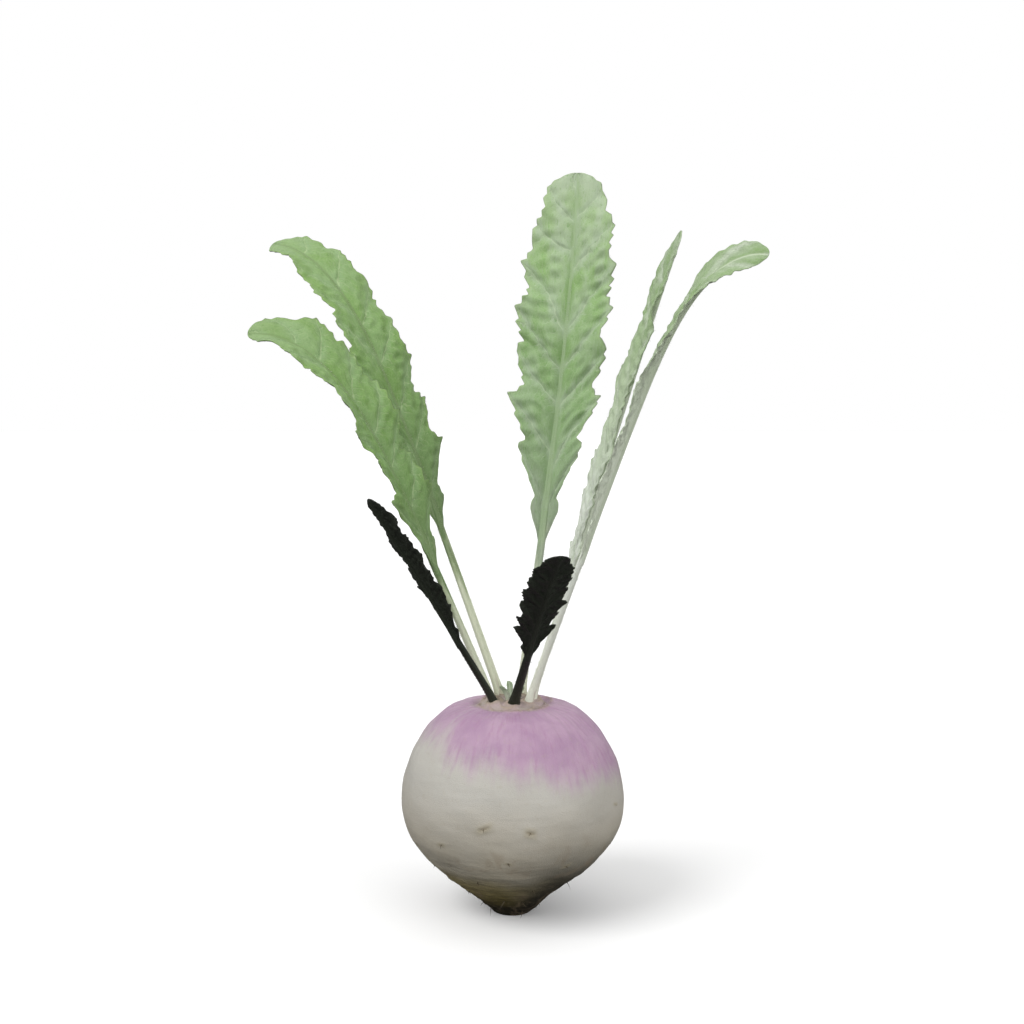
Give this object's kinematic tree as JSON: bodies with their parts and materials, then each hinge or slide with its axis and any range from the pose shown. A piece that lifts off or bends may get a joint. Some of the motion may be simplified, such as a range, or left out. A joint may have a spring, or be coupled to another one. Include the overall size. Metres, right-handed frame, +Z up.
{
  "type": "turnip",
  "caption": "Purple-topped white turnip with toothed green leaves on long stalks, standing on the trimmed tip of its root.",
  "frame": {"origin": "centre of the small flat spot at the root's tip, which the turnip stands on", "axes": "+Z up from the root's tip to the leaves; the picture's view looks along +Y, with +X to its right"},
  "size_m": [0.1937, 0.1357, 0.2908],
  "materials": {
    "root_skin": "smooth vegetable skin with a slight sheen",
    "leaf_green": "soft leaf with fine veins",
    "leaf_pale": "soft leaf with fine veins",
    "leaf_dark": "soft leaf, nearly black"
  },
  "bodies": {
    "root": {"root": "root_skin", "leaf_back": "leaf_pale", "leaf_right": "leaf_pale", "leaf_right_low": "leaf_pale", "leaf_left": "leaf_green", "leaf_left_low": "leaf_green", "leaf_front_left": "leaf_dark", "leaf_front_right": "leaf_dark"}
  },
  "joints": []
}
